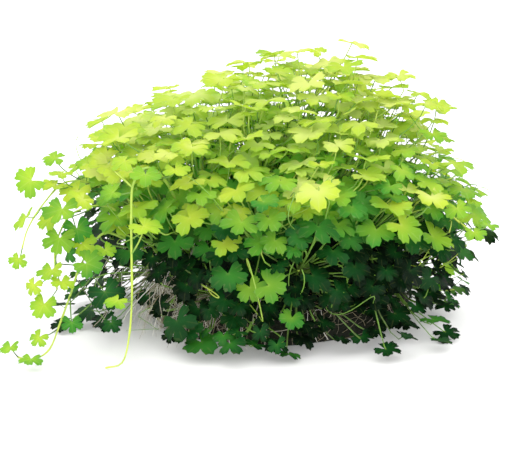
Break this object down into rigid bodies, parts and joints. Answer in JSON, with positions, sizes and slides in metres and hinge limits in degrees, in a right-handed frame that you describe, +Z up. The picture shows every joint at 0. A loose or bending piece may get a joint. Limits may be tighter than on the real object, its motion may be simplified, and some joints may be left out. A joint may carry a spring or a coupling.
{
  "type": "pennywort",
  "caption": "Clump of creeping pennywort: a wide dome of lobed leaves on thin stalks over a flat root mat, with runners that trail down beside it.",
  "frame": {"origin": "centre of the root mat's flat underside, on the surface that the clump rests on", "axes": "+Z is up, -Y points to the picture's camera, and +X is the picture's right, along the clump's longest side"},
  "size_m": [0.2737, 0.1968, 0.1584],
  "materials": {
    "root_mat": "matte, fibrous",
    "runner_stem": "satin",
    "trailing_leaf": "satin",
    "leafy_shoot": "satin"
  },
  "bodies": {
    "root": {"root_mat": "root_mat", "runner_left_arch": "runner_stem", "runner_left_low": "runner_stem", "runner_left_floor": "runner_stem", "runner_front": "runner_stem", "runner_right_low": "runner_stem", "runner_right_high": "runner_stem", "leaf_01": "trailing_leaf", "leaf_02": "trailing_leaf", "leaf_03": "trailing_leaf", "leaf_04": "trailing_leaf", "leaf_05": "trailing_leaf", "leaf_06": "trailing_leaf", "leaf_07": "trailing_leaf", "leaf_08": "trailing_leaf", "leaf_09": "trailing_leaf", "leaf_10": "trailing_leaf", "leaf_11": "trailing_leaf", "leaf_12": "trailing_leaf", "leaf_13": "trailing_leaf", "leaf_14": "trailing_leaf", "leaf_15": "trailing_leaf", "leaf_16": "trailing_leaf", "leaf_17": "trailing_leaf", "leaf_18": "trailing_leaf", "leaf_19": "trailing_leaf", "leaf_20": "trailing_leaf", "leaf_21": "trailing_leaf", "leaf_22": "trailing_leaf", "leaf_23": "trailing_leaf", "shoot_01": "leafy_shoot", "shoot_02": "leafy_shoot", "shoot_03": "leafy_shoot", "shoot_04": "leafy_shoot", "shoot_05": "leafy_shoot", "shoot_06": "leafy_shoot", "shoot_07": "leafy_shoot", "shoot_08": "leafy_shoot", "shoot_09": "leafy_shoot", "shoot_10": "leafy_shoot", "shoot_11": "leafy_shoot", "shoot_12": "leafy_shoot", "shoot_13": "leafy_shoot", "shoot_14": "leafy_shoot", "shoot_15": "leafy_shoot", "shoot_16": "leafy_shoot", "shoot_17": "leafy_shoot", "shoot_18": "leafy_shoot", "shoot_19": "leafy_shoot", "shoot_20": "leafy_shoot", "shoot_21": "leafy_shoot", "shoot_22": "leafy_shoot", "shoot_23": "leafy_shoot", "shoot_24": "leafy_shoot", "shoot_25": "leafy_shoot", "shoot_26": "leafy_shoot", "shoot_27": "leafy_shoot", "shoot_28": "leafy_shoot", "shoot_29": "leafy_shoot", "shoot_30": "leafy_shoot"}
  },
  "joints": []
}
